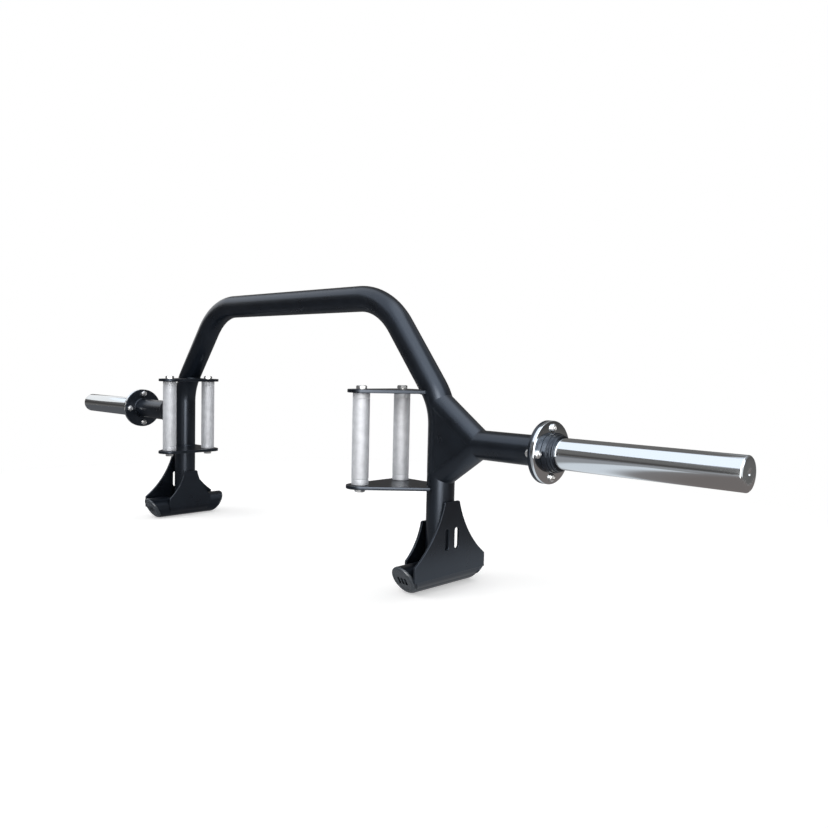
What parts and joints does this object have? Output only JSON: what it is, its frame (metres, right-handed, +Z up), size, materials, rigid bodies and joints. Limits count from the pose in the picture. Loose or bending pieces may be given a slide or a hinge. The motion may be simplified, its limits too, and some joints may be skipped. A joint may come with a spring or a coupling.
{
  "type": "open-ended trap bar",
  "caption": "Open-ended trap bar: a black bent-tube frame on two feet, grips on both sides and chromed loading sleeves.",
  "frame": {"origin": "on the floor under the middle of the bounding box, between the two feet", "axes": "+X along the sleeves, towards the right sleeve; +Y away from the grips, towards the side that the arch closes; +Z up"},
  "size_m": [1.9534, 0.2324, 0.5438],
  "materials": {
    "frame_paint": "satin black powder coat",
    "chrome": "polished hard chrome",
    "grip_steel": "satin plated steel with a fine knurl",
    "zinc": "zinc plated fasteners",
    "cap_plastic": "moulded black plastic"
  },
  "bodies": {
    "root": {"arch_tube": "frame_paint", "flange_nut_left_1": "zinc", "flange_nut_left_2": "zinc", "flange_nut_left_3": "zinc", "flange_nut_left_4": "zinc", "flange_nut_right_1": "zinc", "flange_nut_right_2": "zinc", "flange_nut_right_3": "zinc", "flange_nut_right_4": "zinc", "flange_screw_left_1": "zinc", "flange_screw_left_2": "zinc", "flange_screw_left_3": "zinc", "flange_screw_left_4": "zinc", "flange_screw_right_1": "zinc", "flange_screw_right_2": "zinc", "flange_screw_right_3": "zinc", "flange_screw_right_4": "zinc", "foot_cap_front_left": "cap_plastic", "foot_cap_front_right": "cap_plastic", "foot_cap_rear_left": "cap_plastic", "foot_cap_rear_right": "cap_plastic", "foot_plate_inner_left": "frame_paint", "foot_plate_inner_right": "frame_paint", "foot_plate_outer_left": "frame_paint", "foot_plate_outer_right": "frame_paint", "foot_tube_left": "frame_paint", "foot_tube_right": "frame_paint", "frame_flange_left": "frame_paint", "frame_flange_right": "frame_paint", "gusset_front_left": "frame_paint", "gusset_front_right": "frame_paint", "gusset_rear_left": "frame_paint", "gusset_rear_right": "frame_paint", "handle_bolt_left_1": "zinc", "handle_bolt_left_2": "zinc", "handle_bolt_left_3": "zinc", "handle_bolt_left_4": "zinc", "handle_bolt_right_1": "zinc", "handle_bolt_right_2": "zinc", "handle_bolt_right_3": "zinc", "handle_bolt_right_4": "zinc", "handle_front_left": "grip_steel", "handle_front_right": "grip_steel", "handle_plate_lower_left": "frame_paint", "handle_plate_lower_right": "frame_paint", "handle_plate_upper_left": "frame_paint", "handle_plate_upper_right": "frame_paint", "handle_rear_left": "grip_steel", "handle_rear_right": "grip_steel", "lower_brace_left": "frame_paint", "lower_brace_right": "frame_paint", "sleeve_bar_left": "chrome", "sleeve_bar_right": "chrome", "sleeve_flange_left": "chrome", "sleeve_flange_right": "chrome", "stub_tube_left": "frame_paint", "stub_tube_right": "frame_paint", "upper_brace_left": "frame_paint", "upper_brace_right": "frame_paint"}
  },
  "joints": []
}
